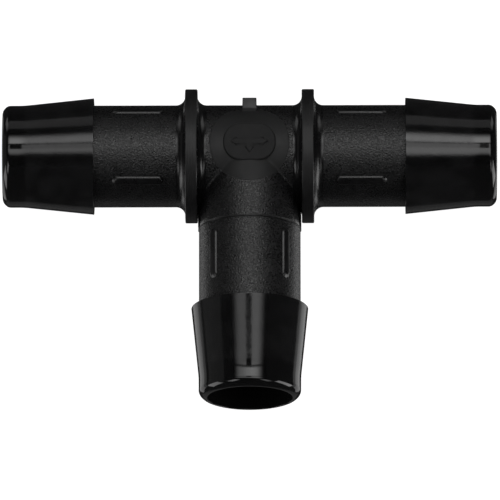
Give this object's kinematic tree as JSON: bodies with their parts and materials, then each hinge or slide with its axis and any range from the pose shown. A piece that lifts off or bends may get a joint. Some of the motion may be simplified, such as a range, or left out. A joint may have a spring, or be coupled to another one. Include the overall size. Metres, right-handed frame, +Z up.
{
  "type": "barbed tee connector",
  "caption": "Black nylon barbed tee that joins lengths of flexible hose, with a straight run, a square branch, stop collars on the run and a sharp-backed barb at each port.",
  "frame": {"origin": "under the middle of the fitting's bounding box, at the height of the lowest points of the stop collars", "axes": "+X along the run, -Y out of the branch port, +Z up through the badge; the three bores meet at x 0, y 17.15, z 12.5 mm"},
  "size_m": [0.092, 0.0594, 0.025],
  "materials": {
    "textured_nylon": "black glass-filled nylon with a fine spark-eroded grain, broad soft highlights",
    "polished_nylon": "black glass-filled nylon moulded against a polished tool, sharp bright highlights",
    "satin_nylon": "black glass-filled nylon, smooth and half glossy"
  },
  "bodies": {
    "root": {"hub": "textured_nylon", "left_collar": "textured_nylon", "right_collar": "textured_nylon", "left_neck": "textured_nylon", "right_neck": "textured_nylon", "branch_neck": "textured_nylon", "left_neck_rib_1": "textured_nylon", "left_neck_rib_2": "textured_nylon", "left_neck_rib_3": "textured_nylon", "left_neck_rib_4": "textured_nylon", "right_neck_rib_1": "textured_nylon", "right_neck_rib_2": "textured_nylon", "right_neck_rib_3": "textured_nylon", "right_neck_rib_4": "textured_nylon", "branch_neck_rib_1": "textured_nylon", "branch_neck_rib_2": "textured_nylon", "branch_neck_rib_3": "textured_nylon", "branch_neck_rib_4": "textured_nylon", "left_barb": "polished_nylon", "right_barb": "polished_nylon", "branch_barb": "polished_nylon", "badge_plate": "satin_nylon", "flow_mark": "satin_nylon", "gate_vestige": "satin_nylon"}
  },
  "joints": []
}
